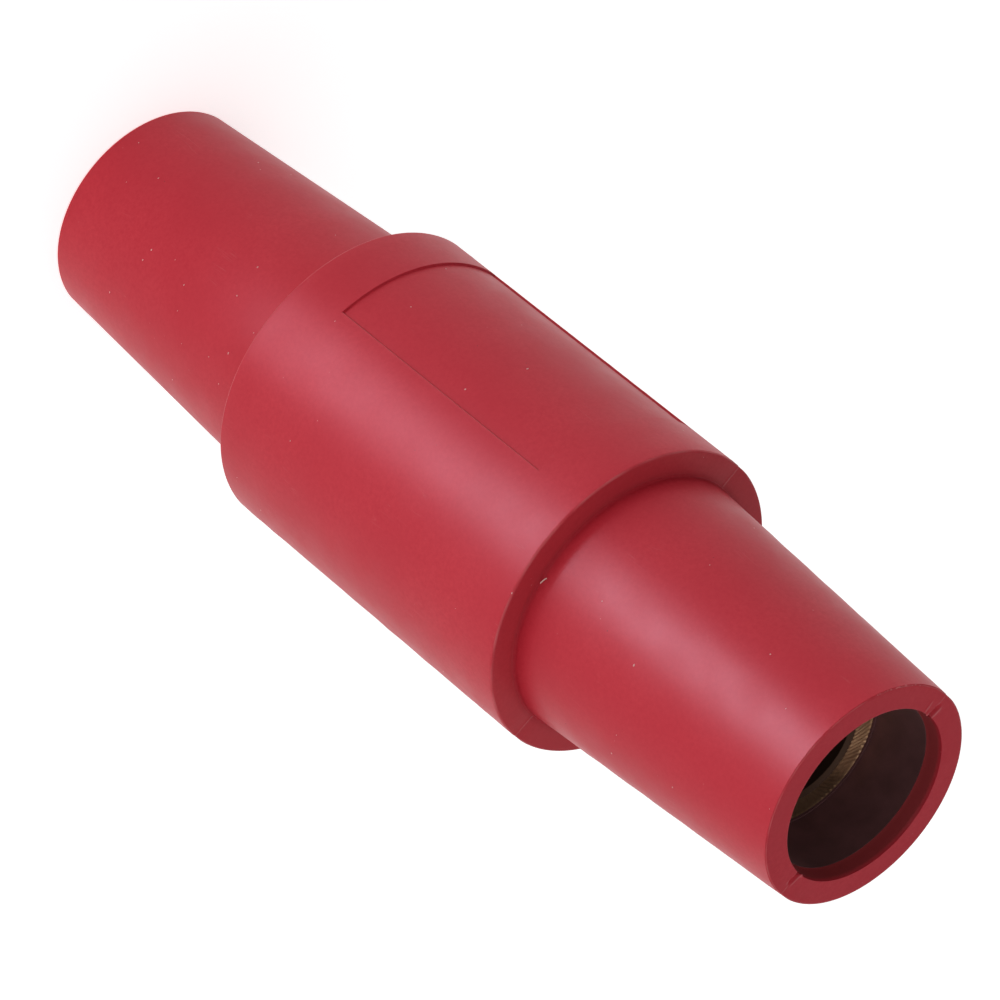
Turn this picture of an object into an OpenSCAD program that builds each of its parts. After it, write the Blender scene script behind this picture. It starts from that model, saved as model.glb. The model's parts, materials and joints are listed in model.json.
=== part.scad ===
// Double female single-pole cam-lock coupler.
// A moulded rubber sleeve holds a turned brass contact that is open at both ends.
// A dark liner stands in each mouth, from the lip of the sleeve down to the seat of the contact.
// A steel pin across each contact bore catches the cam groove of the male plug.
// The coupler stands on one end face, with the axis along +Z and the origin at the centre of that face.

/* [Sleeve] */
// Outer diameter of the straight barrel
barrel_d = 44.5; // [42:0.1:50]
// Length of the barrel from shoulder to shoulder
barrel_len = 56.8; // [45:0.1:75]
// Length of each tapered nozzle, shoulder to end face
nozzle_len = 45.4; // [36:0.1:60]
// Nozzle diameter where it meets the shoulder
nozzle_root_d = 37.2; // [35:0.1:40]
// Nozzle diameter at the end face
nozzle_tip_d = 31.8; // [29:0.1:35]
// Edge radius of the two barrel rims
rim_round = 0.7; // [0.2:0.1:1.5]
// Fillet radius where a nozzle leaves the shoulder
root_fillet = 1; // [0.3:0.1:1.8]
// Edge radius outside each mouth
tip_round = 0.4; // [0.1:0.1:1]

/* [Mouth] */
// Opening of each mouth at the end face
mouth_d = 24.7; // [24:0.1:27]
// Bore of the lip at its inner edge
lip_d = 24.1; // [23:0.1:26]
// Length of the lip, from the end face to the liner
lip_len = 2.5; // [1:0.1:5]
// Depth from the end face of the sleeve to the end face of the contact
contact_recess = 11.4; // [7:0.1:18]

/* [Liners] */
// Bore of a liner in front of the contact
liner_bore_d = 24; // [23.2:0.1:25]
// Wall of a liner in front of the contact
liner_wall = 1.5; // [0.8:0.1:2]
// Length of a liner
liner_len = 20; // [18:0.5:26]

/* [Label recess] */
// Length of the label recess along the barrel
label_len = 40; // [20:0.5:44]
// Width of the label recess around the barrel
label_w = 27.3; // [10:0.1:40]
// Depth of the label recess below the barrel surface
label_depth = 0.5; // [0.2:0.1:1.5]
// Direction that the label recess faces, in degrees from +X towards +Y
label_facing = 220; // [0:1:359]

/* [Contact] */
// Outer diameter of the contact
contact_d = 23.5; // [21:0.1:23.6]
// Diameter of the collar that keeps the contact in the sleeve
collar_d = 27; // [25:0.1:32]
// Length of the collar
collar_len = 20; // [10:0.5:40]
// Chamfer on the edges of the collar
collar_chamfer = 0.8; // [0.2:0.1:1.4]
// Chamfer on the outer edge of each contact end
end_chamfer = 0.4; // [0.1:0.1:1]
// Bore that grips the pin of the male plug
contact_bore_d = 16.1; // [15:0.05:16.6]
// Length of that bore, from the contact end to the cam chamber
contact_bore_len = 26; // [18:0.5:32]
// Chamfer at the mouth of the contact bore
bore_chamfer = 0.5; // [0.1:0.1:1]
// Bore of the chamber in which the cam end of the male pin turns
chamber_d = 17; // [16.7:0.1:17.6]
// Length of the cam chamber
chamber_len = 18; // [12:0.5:22]
// Angle of the drill point at the bottom of the chamber
drill_point = 118; // [90:1:150]

/* [Cam pins] */
// Diameter of a cam pin
cam_pin_d = 3.2; // [2.5:0.1:3.8]
// Distance of the centre line of a cam pin from the axis of the coupler
cam_pin_offset = 6.6; // [6:0.1:7]
// Distance of a cam pin below the top of its chamber
cam_pin_drop = 5; // [3:0.1:8]
// How far the ends of a cam pin lie below the surface of the contact
cam_pin_setback = 0.3; // [0.1:0.1:0.6]
// Chamfer on the ends of a cam pin
cam_pin_chamfer = 0.3; // [0.1:0.1:0.6]

/* [Fits] */
// Gap between the pieces that sit in one another, on each side
seat_gap = 0.05; // [0.02:0.01:0.15]
// Gap between a cam pin and its hole, on each side
pin_gap = 0.02; // [0.01:0.01:0.05]

/* [Hidden] */
$fn = 96;

// A cut reaches this far past the surface that it opens
over = 1;

barrel_r = barrel_d / 2;
nozzle_root_r = nozzle_root_d / 2;
mouth_r = mouth_d / 2;
lip_r = lip_d / 2;
liner_bore_r = liner_bore_d / 2;
liner_r = liner_bore_r + liner_wall;
contact_r = contact_d / 2;
collar_r = collar_d / 2;
contact_bore_r = contact_bore_d / 2;
chamber_r = chamber_d / 2;
cam_pin_r = cam_pin_d / 2;

// Heights above the middle of the coupler, which is the same towards both ends
shoulder_h = barrel_len / 2;
end_h = shoulder_h + nozzle_len;
lip_h = end_h - lip_len;
liner_top_h = lip_h - seat_gap;
liner_bottom_h = liner_top_h - liner_len;
contact_end_h = end_h - contact_recess;
chamber_top_h = contact_end_h - contact_bore_len;
chamber_floor_h = chamber_top_h - chamber_len;
drill_tip_h = chamber_floor_h - chamber_r / tan(drill_point / 2);
cam_pin_h = chamber_top_h - cam_pin_drop;

// The side of a nozzle leans in towards the mouth by this angle
nozzle_lean = atan((nozzle_root_d - nozzle_tip_d) / 2 / nozzle_len);
nozzle_normal = [cos(nozzle_lean), sin(nozzle_lean)];

// Radius of the nozzle side at a height above the middle
function nozzle_side(h) = nozzle_root_r - (h - shoulder_h) * tan(nozzle_lean);

// Centre of the round outside the mouth, which touches the side and the end face
tip_h = end_h - tip_round;
tip_centre = [nozzle_side(tip_h) - tip_round / cos(nozzle_lean), tip_h];
tip_on_side = tip_centre + tip_round * nozzle_normal;

// Centre of the fillet at the root, which touches the side and the shoulder
fillet_h = shoulder_h + root_fillet;
fillet_centre = [nozzle_side(fillet_h) + root_fillet / cos(nozzle_lean), fillet_h];
fillet_on_side = fillet_centre - root_fillet * nozzle_normal;

seat_r = contact_r + seat_gap;
pocket_r = liner_r + seat_gap;
pocket_floor_h = liner_bottom_h - seat_gap;
groove_r = collar_r + seat_gap;
groove_len = collar_len + 2 * seat_gap;

// Angle that the label recess takes up around the barrel
label_angle = label_w / barrel_r * 180 / PI;

// A cam pin stays inside the contact surface on its outer side
cam_pin_reach = sqrt(pow(contact_r, 2) - pow(cam_pin_offset + cam_pin_r, 2)) - cam_pin_setback;

// Outline of a whole section, from the points of its upper half in order from the middle to the axis
function both_halves(upper) =
    concat(upper, [for (i = [len(upper) - 1 : -1 : 0]) [upper[i].x, -upper[i].y]]);

// Rectangle from the axis out to a radius, with its height centred on the middle
module centred_band(r, h) {
    translate([0, -h / 2]) square([r, h]);
}

// Circle at a point of the upper half, and again in the lower half
module both_rounds(centre, r) {
    for (side = [1, -1])
        translate([centre.x, side * centre.y]) circle(r);
}

// Shape with its points given for the upper half, and again in the lower half
module both_polygons(upper) {
    for (side = [1, -1])
        polygon([for (point = upper) [point.x, side * point.y]]);
}

// Turns a section drawn about the middle into a solid that stands on its end face
module turned() {
    translate([0, 0, end_h]) rotate_extrude() children();
}

module barrel_section() {
    centred_band(barrel_r - rim_round, barrel_len);
    centred_band(barrel_r, barrel_len - 2 * rim_round);
    both_rounds([barrel_r - rim_round, shoulder_h - rim_round], rim_round);
}

module nozzles_section() {
    polygon(both_halves([
        [nozzle_root_r, shoulder_h],
        tip_on_side,
        [tip_centre.x, end_h],
        [0, end_h]
    ]));
    both_rounds(tip_centre, tip_round);
}

module root_fillets_section() {
    difference() {
        polygon(both_halves([
            [fillet_centre.x, shoulder_h],
            fillet_centre,
            fillet_on_side,
            [0, fillet_on_side.y]
        ]));
        both_rounds(fillet_centre, root_fillet);
    }
}

// Everything inside the sleeve: groove for the collar, seat for the contact, pockets for the liners and lips
module sleeve_bore_section() {
    centred_band(groove_r, groove_len);
    centred_band(seat_r, 2 * (end_h + over));
    both_polygons([
        [0, pocket_floor_h],
        [pocket_r, pocket_floor_h],
        [pocket_r, lip_h],
        [lip_r, lip_h],
        [mouth_r + (mouth_r - lip_r) * over / lip_len, end_h + over],
        [0, end_h + over]
    ]);
}

module sleeve_section() {
    difference() {
        union() {
            barrel_section();
            nozzles_section();
            root_fillets_section();
        }
        sleeve_bore_section();
    }
}

module label_recess() {
    translate([0, 0, end_h - label_len / 2])
        rotate([0, 0, label_facing - label_angle / 2])
            rotate_extrude(angle = label_angle)
                translate([barrel_r - label_depth, 0]) square([label_depth + over, label_len]);
}

module contact_body_section() {
    polygon(both_halves([
        [collar_r, collar_len / 2 - collar_chamfer],
        [collar_r - collar_chamfer, collar_len / 2],
        [contact_r, collar_len / 2],
        [contact_r, contact_end_h - end_chamfer],
        [contact_r - end_chamfer, contact_end_h],
        [0, contact_end_h]
    ]));
}

// Drilled from each contact end: chamfer, contact bore, wider cam chamber and drill point
module contact_bores_section() {
    both_polygons([
        [0, drill_tip_h],
        [chamber_r, chamber_floor_h],
        [chamber_r, chamber_top_h],
        [contact_bore_r, chamber_top_h],
        [contact_bore_r, contact_end_h - bore_chamfer],
        [contact_bore_r + bore_chamfer + over, contact_end_h + over],
        [0, contact_end_h + over]
    ]);
}

// Puts a part that is drawn along X at the cam pin's place, side 1 for the top and -1 for the bottom
module at_cam_pin(side) {
    translate([0, cam_pin_offset, end_h + side * cam_pin_h]) rotate([0, 90, 0]) children();
}

module cam_pin(side) {
    at_cam_pin(side) rotate_extrude() polygon(both_halves([
        [cam_pin_r, cam_pin_reach - cam_pin_chamfer],
        [cam_pin_r - cam_pin_chamfer, cam_pin_reach],
        [0, cam_pin_reach]
    ]));
}

// Tube in a mouth, stepped inside where it reaches past the end of the contact
module liner(side) {
    turned() polygon([for (point = [
        [liner_r, liner_top_h],
        [liner_bore_r, liner_top_h],
        [liner_bore_r, contact_end_h],
        [seat_r, contact_end_h],
        [seat_r, liner_bottom_h],
        [liner_r, liner_bottom_h]
    ]) [point.x, side * point.y]]);
}

module insulator_sleeve() {
    color([0.73, 0.19, 0.23])
        difference() {
            turned() sleeve_section();
            label_recess();
        }
}

module contact_barrel() {
    color([0.72, 0.55, 0.3])
        difference() {
            turned() difference() {
                contact_body_section();
                contact_bores_section();
            }
            for (side = [1, -1])
                at_cam_pin(side) cylinder(r = cam_pin_r + pin_gap, h = contact_d, center = true);
        }
}

module top_cam_pin() {
    color([0.62, 0.63, 0.65]) cam_pin(1);
}

module bottom_cam_pin() {
    color([0.62, 0.63, 0.65]) cam_pin(-1);
}

module top_liner() {
    color([0.2, 0.11, 0.11]) liner(1);
}

module bottom_liner() {
    color([0.2, 0.11, 0.11]) liner(-1);
}

insulator_sleeve();
contact_barrel();
top_cam_pin();
bottom_cam_pin();
top_liner();
bottom_liner();
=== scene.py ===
"""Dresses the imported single-pole coupler: sleeve, liners, contact, cam pins and a pale studio."""

import json
import math

import bmesh
import bpy
import numpy as np
from bpy.props import FloatProperty, FloatVectorProperty, IntProperty, PointerProperty
from mathutils import Matrix, Vector


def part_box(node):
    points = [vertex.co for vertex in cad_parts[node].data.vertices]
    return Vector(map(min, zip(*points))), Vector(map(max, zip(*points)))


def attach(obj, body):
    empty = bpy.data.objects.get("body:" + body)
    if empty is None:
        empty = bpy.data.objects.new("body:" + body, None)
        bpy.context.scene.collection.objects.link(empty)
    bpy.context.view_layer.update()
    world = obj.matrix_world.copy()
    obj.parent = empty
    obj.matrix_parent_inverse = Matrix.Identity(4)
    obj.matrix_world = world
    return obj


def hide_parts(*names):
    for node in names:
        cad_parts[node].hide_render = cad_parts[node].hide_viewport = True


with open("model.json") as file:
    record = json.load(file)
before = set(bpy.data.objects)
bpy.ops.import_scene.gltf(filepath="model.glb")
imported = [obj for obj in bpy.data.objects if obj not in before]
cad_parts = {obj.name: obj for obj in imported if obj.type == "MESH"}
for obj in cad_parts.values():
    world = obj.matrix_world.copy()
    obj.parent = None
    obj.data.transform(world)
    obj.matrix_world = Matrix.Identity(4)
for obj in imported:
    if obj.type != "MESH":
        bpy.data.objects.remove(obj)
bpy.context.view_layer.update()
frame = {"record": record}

bl_info = {
    "name": "Single-pole coupler",
    "version": (1, 0, 0),
    "blender": (4, 5, 0),
    "location": "View3D > Sidebar > Coupler",
    "description": "Builds a red rubber single-pole coupler around its packed frame",
    "category": "Object",
}

MM = 0.001
BODY = "root"

SLEEVE_LOW, SLEEVE_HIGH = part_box("insulator_sleeve")
CONTACT_LOW, CONTACT_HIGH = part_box("contact_barrel")
LINER_LOW, LINER_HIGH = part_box("top_liner")
PIN_NODES = ("top_cam_pin", "bottom_cam_pin")
PIN_LOW, PIN_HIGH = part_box(PIN_NODES[0])
MOUNTS = {mount["name"]: mount for mount in frame["record"]["mounts"]}
MIDDLE = (SLEEVE_LOW.z + SLEEVE_HIGH.z) / 2
HALF_LENGTH = SLEEVE_HIGH.z - MIDDLE

# Closer points are the same point
TOUCH = 1e-3 * MM
# Sharper edges stay crisp, on metal and liners and on rubber
CRISP = math.radians(28)
CRISP_RUBBER = math.radians(50)


def share(name, value, description, **kind):
    """A property that holds a number."""
    return FloatProperty(name=name, description=description, default=value, **kind)


def length(name, millimetres, description):
    """A property that holds a length, with its default given in millimetres."""
    return share(name, millimetres * MM, description, subtype="DISTANCE", unit="LENGTH", precision=5)


def angle(name, degrees, description):
    """A property that holds an angle, with its default given in degrees."""
    return share(name, math.radians(degrees), description, subtype="ANGLE", unit="ROTATION")


def colour(name, value, description):
    """A property that holds a scene-linear colour."""
    kind = {"subtype": "COLOR", "size": 3, "min": 0, "max": 1}
    return FloatVectorProperty(name=name, description=description, default=value, **kind)


class SleeveSizes(bpy.types.PropertyGroup):
    """Sizes of the moulded sleeve."""

    barrel_d: length("Barrel diameter", 2 * SLEEVE_HIGH.y / MM, "Outside of the straight barrel")
    barrel_len: length("Barrel length", 56.8, "From shoulder to shoulder")
    nozzle_root_d: length("Nozzle root diameter", 37.2, "At the shoulder")
    nozzle_tip_d: length("Nozzle tip diameter", 31.8, "At the end face")
    rim_round: length("Rim round", 0.35, "Edge radius of the barrel rims")
    root_fillet: length("Root fillet", 0.4, "Between shoulder and nozzle")
    tip_round: length("Tip round", 0.25, "Edge radius outside each mouth")
    mouth_d: length("Mouth opening", 24.7, "At the end face")
    lip_d: length("Lip bore", 24.1, "At its inner edge")
    lip_len: length("Lip length", 2.5, "From the end face to the liner")
    edge_soft: length("Edge softness", 0.15, "Edge radius of the mouth opening")
    liner_d: length("Liner", 2 * LINER_HIGH.y / MM, "Outside of each liner")
    liner_bore_d: length("Liner bore", 2 * MOUNTS["top_mouth"]["dims"]["r_mm"], "Bore before the contact")
    seat_gap: length("Seat gap", 0.05, "Between seated pieces")
    label_len: length("Label length", 40.0, "Along the barrel")
    label_w: length("Label width", 27.3, "Around the barrel")
    label_depth: length("Label depth", 0.32, "Below the barrel surface")
    label_wall: length("Label wall", 0.16, "Width of its slope")
    label_facing: angle("Label direction", 220, "From +X towards +Y")


class MouldMarks(bpy.types.PropertyGroup):
    """Sizes of the traces that the two-part mould left on the sleeve."""

    near_seam: angle("First seam", 180.4, "On the -X side")
    far_seam: angle("Second seam", 357.8, "On the +X side")
    flash_h: length("Flash height", 0.09, "Thin ridge along each seam")
    flash_w: length("Flash width", 0.14, "Half width of that ridge")
    relief_w: length("Relief width", 1.6, "Half width of the hollow beside it")
    half_step: length("Half step", 0.05, "How much lower the +Y half of the sleeve lies")
    groove_depth: length("End groove depth", 0.36, "Groove across each end face at a seam")
    groove_w: length("End groove width", 0.42, "Half width of that groove")
    groove_reach: length("End groove reach", 2.2, "Outwards from the mouth")
    groove_slant: angle("End groove slant", 7.3, "Away from the radius")
    line_turn: angle("Fine line turn", 6.5, "From the first seam, on the end faces")
    line_h: length("Fine line height", 0.1, "Raised lines on the end faces")
    pip_h: length("Pip height", 0.2, "Where a seam meets the mouth")


class ContactSizes(bpy.types.PropertyGroup):
    """Sizes of the turned contact and its cam pins."""

    contact_d: length("Contact diameter", 23.5, "Outside of the contact")
    collar_d: length("Collar diameter", 2 * CONTACT_HIGH.y / MM, "Collar that the sleeve holds")
    collar_len: length("Collar length", 20.0, "Along the axis")
    collar_chamfer: length("Collar chamfer", 0.8, "Edges of the collar")
    end_chamfer: length("End chamfer", 0.4, "Outer edge of each end")
    bore_d: length("Contact bore", 2 * MOUNTS["top_contact_bore"]["dims"]["r_mm"], "Bore for a plug's pin")
    bore_len: length("Contact bore length", 26.0, "From the end to the cam chamber")
    bore_chamfer: length("Bore chamfer", 0.5, "Mouth of the contact bore")
    chamber_d: length("Cam chamber", 17.0, "Where the plug's cam turns")
    chamber_len: length("Cam chamber length", 18.0, "Along the axis")
    drill_point: angle("Drill point", 118, "Cone at the bottom of the chamber")
    pin_gap: length("Pin gap", 0.02, "Around each cam pin")
    pin_chamfer: length("Pin chamfer", 0.3, "Ends of a cam pin")
    chatter_depth: length("Chatter depth", 0.07, "Ripples on the end faces")
    chatter_slant: angle("Chatter slant", 28, "Away from the radius")
    chatter_count: IntProperty(name="Chatter count", description="Ripples round an end", default=95)


class FinishColours(bpy.types.PropertyGroup):
    """Colours of the finishes, scene linear."""

    rubber: colour("Rubber", (0.576, 0.0335, 0.0505), "Clean red rubber")
    rubber_deep: colour("Deep rubber", (0.474, 0.015, 0.0305), "Darker red rubber")
    # Also the colour of the painted highlights along the label recess and the end-face lines
    rubbed_and_highlight: colour("Rubbed rubber and highlights", (0.56, 0.12, 0.13), "Scratches, rubbed spots and painted highlights")
    # Painted shade on the lip walls inside the mouths
    lip_shade_tint: colour("Lip shade", (0.28, 0.075, 0.07), "Painted shade inside the lips")
    brass: colour("Brass", (0.88, 0.56, 0.33), "Freshly turned brass")
    brass_dull: colour("Dull brass", (0.55, 0.325, 0.18), "Tarnished brass")
    # The darkest brass: inside the bore, and the painted shade on one side
    brass_dark_and_shade: colour("Darkest brass", (0.075, 0.038, 0.023), "Darker inside the bore, and painted shade on one side")
    steel: colour("Steel", (0.48, 0.48, 0.5), "Ground steel")
    liner: colour("Liner", (0.115, 0.048, 0.049), "Brown-black tube")
    dust: colour("Dust", (0.62, 0.36, 0.35), "Pale dust on the rubber")
    lint: colour("Lint", (0.75, 0.5, 0.46), "Thread of lint")
    # Also the tint of the painted shade in the corners at the nozzles' roots
    grit_and_corner_shade: colour("Dark specks and corner shade", (0.045, 0.025, 0.022), "Dark specks on the rubber, and the painted shade in the root corners")
    floor: colour("Floor", (0.9, 0.9, 0.9), "Studio floor")
    card: colour("Card", (0.72, 0.82, 1.0), "Cool white of the lit cards")


class StageSettings(bpy.types.PropertyGroup):
    """Camera, floor and lamps."""

    elevation: angle("Camera elevation", 36.56, "Above the horizon, seen from -Y")
    roll: angle("Camera roll", 129.22, "About its line of sight")
    distance: length("Camera distance", 798.0, "From the barrel's middle")
    aim_right: length("Aim right", 1.375, "Of the barrel's middle")
    aim_up: length("Aim up", -1.416, "Above the barrel's middle")
    lens: share("Lens", 222.8, "Focal length in mm, for a 36 mm sensor")
    floor_reach: length("Floor reach", 3000.0, "Half the width of the floor")
    floor_glow: share("Floor glow", 0.64, "The floor's own light")
    room_top: share("Ceiling", 0.83, "Brightness overhead")
    room_side: share("Room sides", 0.03, "Brightness all round")
    room_lean: share("Room lean", 0.85, "How much brighter towards +X")
    strip_level: share("Strip level", 11.5, "Narrow card on the floor in front")
    sheet_level: share("Sheet level", 49.0, "Wider card beyond it")
    card_spread: angle("Card spread", 138, "Beam of both cards")
    panel_level: share("Panel level", 7.3, "Low panel on the right")


def settings(context):
    """The property groups of the scene: sleeve, mould marks, contact, colours, stage."""
    return [getattr(context.scene, name) for name in GROUPS]


# Node trees


def plug(node, inputs):
    """Links or fills inputs of a node, by name or number."""
    for key, value in inputs.items():
        if isinstance(value, bpy.types.NodeSocket):
            node.id_data.links.new(value, node.inputs[key])
        else:
            node.inputs[key].default_value = value


def add_node(tree, kind, inputs=None, **options):
    """Adds a node, sets its options and plugs in its inputs."""
    node = tree.nodes.new(kind)
    for key, value in options.items():
        setattr(node, key, value)
    plug(node, inputs or {})
    return node


def calculate(operation, *values):
    """Output of a Math node that works on sockets and numbers."""
    tree = next(value.id_data for value in values if isinstance(value, bpy.types.NodeSocket))
    return add_node(tree, "ShaderNodeMath", dict(enumerate(values)), operation=operation).outputs[0]


def remap(value, from_low, from_high, to_low, to_high, smooth=False):
    """Output of a Map Range node."""
    limits = {0: value, 1: from_low, 2: from_high, 3: to_low, 4: to_high}
    kind = "SMOOTHSTEP" if smooth else "LINEAR"
    return add_node(value.id_data, "ShaderNodeMapRange", limits, interpolation_type=kind).outputs[0]


def turned_nodes(tree, given):
    """Carries every point of a profile round a ring, as on a lathe."""
    ring = add_node(tree, "GeometryNodeObjectInfo", {"Object": given["Ring"]}).outputs["Geometry"]
    rows, columns = (
        add_node(tree, "GeometryNodeAttributeDomainSize", {"Geometry": line}).outputs["Point Count"]
        for line in (given["Profile"], ring)
    )
    grid = add_node(tree, "GeometryNodeMeshGrid", {"Vertices X": columns, "Vertices Y": rows})
    index = add_node(tree, "GeometryNodeInputIndex").outputs[0]
    place = add_node(tree, "GeometryNodeInputPosition").outputs[0]
    sampled = []
    for source, operation in ((given["Profile"], "MODULO"), (ring, "DIVIDE_FLOOR")):
        which = add_node(tree, "FunctionNodeIntegerMath", {0: index, 1: rows}, operation=operation)
        inputs = {"Geometry": source, "Value": place, "Index": which.outputs[0]}
        sample = add_node(tree, "GeometryNodeSampleIndex", inputs, data_type="FLOAT_VECTOR", domain="POINT")
        sampled.append(add_node(tree, "ShaderNodeSeparateXYZ", {0: sample.outputs["Value"]}).outputs)
    (radius, _, height), (cosine, sine, _) = sampled
    across, ahead = (calculate("MULTIPLY", radius, part) for part in (cosine, sine))
    spot = add_node(tree, "ShaderNodeCombineXYZ", {0: across, 1: ahead, 2: height}).outputs[0]
    moved = add_node(tree, "GeometryNodeSetPosition", {"Geometry": grid.outputs["Mesh"], "Position": spot})
    joined = {"Geometry": moved.outputs[0], "Distance": given["Join"]}
    return add_node(tree, "GeometryNodeMergeByDistance", joined).outputs[0]


def grain_nodes(tree, given):
    """Seats small round grains at random places on a surface."""
    seed = given["Seed"]
    spread = {"Mesh": given["Surface"], "Density": given["Density"], "Seed": seed}
    points = add_node(tree, "GeometryNodeDistributePointsOnFaces", spread).outputs
    limits = {"Min": (0.7, 0.5, 0.3), "Max": (1.5, 0.9, 0.6), "Seed": seed}
    stretch = add_node(tree, "FunctionNodeRandomValue", limits, data_type="FLOAT_VECTOR").outputs["Value"]
    limits = {"Min": given["Smallest"], "Max": given["Largest"], "Seed": seed}
    radius = add_node(tree, "FunctionNodeRandomValue", limits, data_type="FLOAT").outputs["Value"]
    scale = add_node(tree, "ShaderNodeVectorMath", {0: stretch, "Scale": radius}, operation="SCALE")
    grain = add_node(tree, "GeometryNodeMeshIcoSphere", {"Radius": 1.0, "Subdivisions": 2})
    seated = {
        "Points": points["Points"],
        "Instance": grain.outputs["Mesh"],
        "Rotation": points["Rotation"],
        "Scale": scale.outputs[0],
    }
    return add_node(tree, "GeometryNodeInstanceOnPoints", seated).outputs[0]


def thread_nodes(tree, given):
    """Sweeps a round thread along a chain of points."""
    path = add_node(tree, "GeometryNodeMeshToCurve", {"Mesh": given["Path"]})
    section = {"Resolution": 10, "Radius": given["Thickness"]}
    ring = add_node(tree, "GeometryNodeCurvePrimitiveCircle", section)
    sweep = {"Curve": path.outputs[0], "Profile Curve": ring.outputs[0], "Fill Caps": True}
    return add_node(tree, "GeometryNodeCurveToMesh", sweep).outputs[0]


# For each geometry tree, what fills it and its own inputs
TREES = {
    "turned_body": (turned_nodes, {"Profile": "Geometry", "Ring": "Object", "Join": "Float"}),
    "seated_grains": (
        grain_nodes,
        {"Surface": "Geometry", "Density": "Float", "Smallest": "Float", "Largest": "Float", "Seed": "Int"},
    ),
    "swept_thread": (thread_nodes, {"Path": "Geometry", "Thickness": "Float"}),
}


def geometry_tree(name):
    """A geometry tree. They all end in real meshes, smooth faces and one finish."""
    if name in bpy.data.node_groups:
        return bpy.data.node_groups[name]
    tree = bpy.data.node_groups.new(name, "GeometryNodeTree")
    fill, sockets = TREES[name]
    for socket, kind in {**sockets, "Finish": "Material"}.items():
        tree.interface.new_socket(socket, in_out="INPUT", socket_type="NodeSocket" + kind)
    tree.interface.new_socket("Geometry", in_out="OUTPUT", socket_type="NodeSocketGeometry")
    given = add_node(tree, "NodeGroupInput").outputs
    real = add_node(tree, "GeometryNodeRealizeInstances", {"Geometry": fill(tree, given)})
    smooth = add_node(tree, "GeometryNodeSetShadeSmooth", {"Geometry": real.outputs[0]})
    coat = {"Geometry": smooth.outputs[0], "Material": given["Finish"]}
    finished = add_node(tree, "GeometryNodeSetMaterial", coat)
    add_node(tree, "NodeGroupOutput", {0: finished.outputs[0]})
    return tree


# Meshes


def new_object(name, data):
    """An object for a mesh, a lamp or a camera, in the scene."""
    thing = bpy.data.objects.new(name, data)
    bpy.context.scene.collection.objects.link(thing)
    return thing


def polyline(name, points):
    """A chain of points as an object that has only edges."""
    mesh = bpy.data.meshes.new(name)
    mesh.from_pydata([tuple(point) for point in points], [(i, i + 1) for i in range(len(points) - 1)], [])
    return new_object(name, mesh)


def helper_object(name, shape):
    """An object for a bmesh, which is freed."""
    mesh = bpy.data.meshes.new(name)
    shape.to_mesh(mesh)
    shape.free()
    return new_object(name, mesh)


def plain_mesh(name, *helpers):
    """The first helper object, with its modifiers, as a mesh. All helpers are removed."""
    evaluated = helpers[0].evaluated_get(bpy.context.evaluated_depsgraph_get())
    mesh = bpy.data.meshes.new_from_object(evaluated)
    for helper in helpers:
        bpy.data.objects.remove(helper)
    mesh.name = name
    return mesh


def through_nodes(name, kind, values, *helpers):
    """Runs the first helper object through a geometry tree to a mesh."""
    tree = geometry_tree(kind)
    modifier = helpers[0].modifiers.new(kind, "NODES")
    modifier.node_group = tree
    for item in tree.interface.items_tree:
        if item.in_out == "INPUT" and item.name in values:
            modifier[item.identifier] = values[item.name]
    return plain_mesh(name, *helpers)


def outward(mesh):
    """Turns every face of a closed mesh outwards."""
    shape = bmesh.new()
    shape.from_mesh(mesh)
    bmesh.ops.recalc_face_normals(shape, faces=shape.faces)
    shape.to_mesh(mesh)
    shape.free()


def turned(name, profile, ring, finish):
    """A mesh turned from (radius, height) points, with columns at the ring's angles."""
    outline = polyline(name + "_profile", [(radius, 0, height) for radius, height in profile])
    circle = polyline(name + "_ring", [(math.cos(turn), math.sin(turn), 0) for turn in ring])
    values = {"Ring": circle, "Join": TOUCH, "Finish": finish}
    mesh = through_nodes(name, "turned_body", values, outline, circle)
    outward(mesh)
    return mesh


def vectors(items, field):
    """A field of a mesh's vertices or normals as an array."""
    found = np.empty(len(items) * 3)
    items.foreach_get(field, found)
    return found.reshape(-1, 3)


def set_points(mesh, points):
    """Puts the vertices of a mesh in new places."""
    mesh.vertices.foreach_set("co", points.ravel())
    mesh.update()


def straight(start, end, steps):
    """Points along a straight stretch, without its start."""
    first = np.array(start)
    return [tuple(first + (np.array(end) - first) * i / steps) for i in range(1, steps + 1)]


def arc(centre, radius, first, last, steps):
    """Points along an arc between two angles, without its start."""
    turns = np.linspace(first, last, steps + 1)[1:]
    return [(centre[0] + radius * math.cos(turn), centre[1] + radius * math.sin(turn)) for turn in turns]


def soft_corner(before, corner, after, radius, steps=5):
    """Points of a small round in place of a corner."""
    corner = Vector(corner)
    back = (Vector(before) - corner).normalized()
    ahead = (Vector(after) - corner).normalized()
    half = back.angle(ahead) / 2
    centre = corner + (back + ahead).normalized() * radius / math.sin(half)
    start = corner + back * radius / math.tan(half) - centre
    end = corner + ahead * radius / math.tan(half) - centre
    first = math.atan2(start.y, start.x)
    swing = turn_from(math.atan2(end.y, end.x), first)
    return [tuple(centre + start), *arc(centre, radius, first, first + swing, steps)]


def both_ways(upper):
    """A whole outline: the points above the middle, and their mirror below it."""
    return upper + [(radius, -height) for radius, height in reversed(upper)]


def standing(profile):
    """An outline about the middle, moved up to stand on the floor."""
    return [(radius, height + MIDDLE) for radius, height in profile]


def ring_angles(columns, clusters=()):
    """Angles round a full turn, even but for a cluster of extra ones at each given place."""
    turns = list(np.linspace(0, math.tau, columns, endpoint=False))
    for place, offsets in clusters:
        low, high = place + min(offsets), place + max(offsets)
        turns = [turn for turn in turns if not low < turn < high]
        turns += [(place + offset) % math.tau for offset in offsets]
    turns.sort()
    return turns + [turns[0] + math.tau]


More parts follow.
